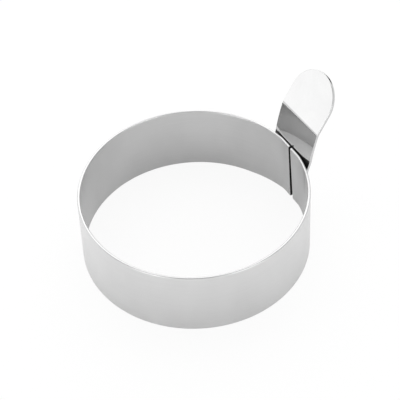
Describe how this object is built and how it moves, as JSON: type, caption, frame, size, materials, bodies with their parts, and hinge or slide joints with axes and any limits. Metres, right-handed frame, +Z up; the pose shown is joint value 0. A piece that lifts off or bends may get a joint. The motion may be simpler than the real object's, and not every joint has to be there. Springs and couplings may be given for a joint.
{
  "type": "egg ring",
  "caption": "Round stainless egg ring: a rolled sheet hoop with a bent thumb handle spot-welded across its seam, for frying and shaping eggs.",
  "frame": {"origin": "middle of the object's footprint, in the plane that the hoop's lower rim rests on", "axes": "+Z up along the hoop's axis, +X from the hoop's axis out along the handle"},
  "size_m": [0.0904, 0.077, 0.0512],
  "materials": {
    "satin_steel": "satin brushed round the hoop",
    "polished_steel": "mirror polished",
    "weld_steel": "as welded"
  },
  "bodies": {
    "root": {"ring_band": "satin_steel", "handle": "polished_steel", "spot_weld_1": "weld_steel", "spot_weld_2": "weld_steel", "spot_weld_3": "weld_steel", "spot_weld_4": "weld_steel"}
  },
  "joints": []
}
